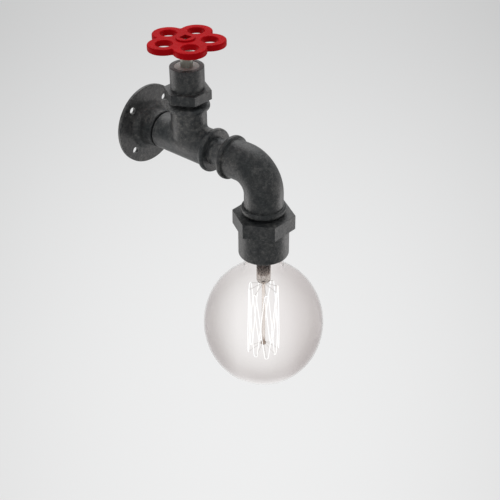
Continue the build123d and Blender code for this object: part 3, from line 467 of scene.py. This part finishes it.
# ------------------------------------------------------------------- floor and lights
FLOOR_DROP = 0.55             # from the lamp's lowest point to the floor
FLOOR_HALF = 24.0
PALE_NEAR, PALE_FAR = 0.875, 0.735
NEAR_RUN, FAR_RUN = 0.6, 2.66  # where the floor's painted shade grows, ahead of the object
SIDE_FALL = 0.09              # painted shade: how much paler the middle is than the frame's sides
MOST_FALL = 2.0               # the fall stops growing at this many times that
FRAME_HALF = 0.293            # half of the floor's width in the frame, under the object,
FRAME_GROWTH = 0.215          # how much that grows in each metre ahead,
FRAME_LEAST = 0.25            # and its least, nearer the camera
SHADOW_SHARE = 0.20           # how much of the floor's look comes from real light
SKY_PALE = 0.74               # the sky as it is seen
SKY_LIGHT = 0.54              # the sky as it lights the object
COOL = (0.955, 0.985, 1.0)
WARM = (1.0, 0.97, 0.955)


def floor_grey(look):
    """The floor's grey, with painted shade: darker far away, and towards the sides of the frame.
    """
    ahead = look.along((0.0, 1.0, 0.0))
    aside = look.along((1.0, 0.0, 0.0))
    # Painted shade: the floor is darker far away and towards the frame's sides.
    pale = look.levels(ahead, NEAR_RUN, FAR_RUN, PALE_NEAR, PALE_FAR, "SMOOTHSTEP")
    half_frame = look.calc("ADD", look.calc("MULTIPLY", ahead, FRAME_GROWTH), FRAME_HALF)
    share = look.calc("DIVIDE", aside, look.calc("MAXIMUM", half_frame, FRAME_LEAST))
    growth = look.calc("MINIMUM", look.calc("MULTIPLY", share, share), MOST_FALL)
    fall = look.calc("MULTIPLY", growth, SIDE_FALL)
    grey = look.add("ShaderNodeCombineColor")
    for channel in ("Red", "Green", "Blue"):
        look.join(look.calc("SUBTRACT", pale, fall), grey.inputs[channel])
    return grey.outputs["Color"]


def floor_material():
    """Seen mostly at its painted grey, with a share of real light to keep soft shadows."""
    look = Shading("floor")
    grey = floor_grey(look)
    glow = look.add("ShaderNodeEmission")
    look.join(grey, glow.inputs["Color"])
    matte = look.add("ShaderNodeBsdfDiffuse")
    look.join(grey, matte.inputs["Color"])
    both = look.add("ShaderNodeMixShader")
    look.join(look.calc("MULTIPLY", look.seen_directly(), 1.0 - SHADOW_SHARE), both.inputs["Fac"])
    look.join(matte.outputs["BSDF"], both.inputs[1])
    look.join(glow.outputs["Emission"], both.inputs[2])
    look.tree.nodes.remove(look.shader)
    look.join(both.outputs["Shader"], look.output.inputs["Surface"])
    return look.material


def add_floor():
    """Pale floor, squared to the camera."""
    corners = [(x * FLOOR_HALF, y * FLOOR_HALF, 0.0)
               for x, y in ((-1, -1), (1, -1), (1, 1), (-1, 1))]
    mesh = bpy.data.meshes.new("floor")
    mesh.from_pydata(corners, [], [(0, 1, 2, 3)])
    floor = bpy.data.objects.new("floor", mesh)
    floor.location = (TARGET.x, TARGET.y, cad_box[0][2] - FLOOR_DROP)
    floor.rotation_euler.z = AZIMUTH
    bpy.context.scene.collection.objects.link(floor)
    mesh.materials.append(floor_material())


def add_world():
    """Even sky for light; pale grey where it is seen."""
    world = bpy.data.worlds.new("studio")
    bpy.context.scene.world = world
    world.use_nodes = True
    sky = Nodes(world.node_tree)
    background = sky.tree.nodes["Background"]
    seen = sky.seen_directly()
    sky.join(sky.blend(seen, COOL, WHITE), background.inputs["Color"])
    sky.join(sky.levels(seen, 0.0, 1.0, SKY_LIGHT, SKY_PALE), background.inputs["Strength"])


def add_lamp(name, place, size, power, colour=WHITE):
    """Soft rectangular lamp pointed at the middle of the object, out of sight itself."""
    data = bpy.data.lights.new(name, "AREA")
    data.shape = "RECTANGLE"
    data.size, data.size_y = size
    data.energy = power
    data.color = colour
    lamp = bpy.data.objects.new(name, data)
    lamp.location = place
    lamp.rotation_euler = (TARGET - place).to_track_quat("-Z", "Y").to_euler()
    lamp.visible_camera = False
    lamp.visible_transmission = False
    bpy.context.scene.collection.objects.link(lamp)


def add_lights():
    """Key from above and behind, and a low soft box at each side of the view."""
    add_lamp("key", studio(-0.1, 0.80, 1.0), (1.5, 0.8), 10.5)
    add_lamp("left_low", studio(-0.92, 0.28, -0.42), (0.7, 0.6), 3.2, WARM)
    add_lamp("right_low", studio(0.90, 0.35, -0.45), (0.6, 0.6), 3.2, WARM)


finish_nodes()
add_camera()
add_floor()
add_world()
add_lights()
bpy.context.scene.view_settings.view_transform = "Standard"
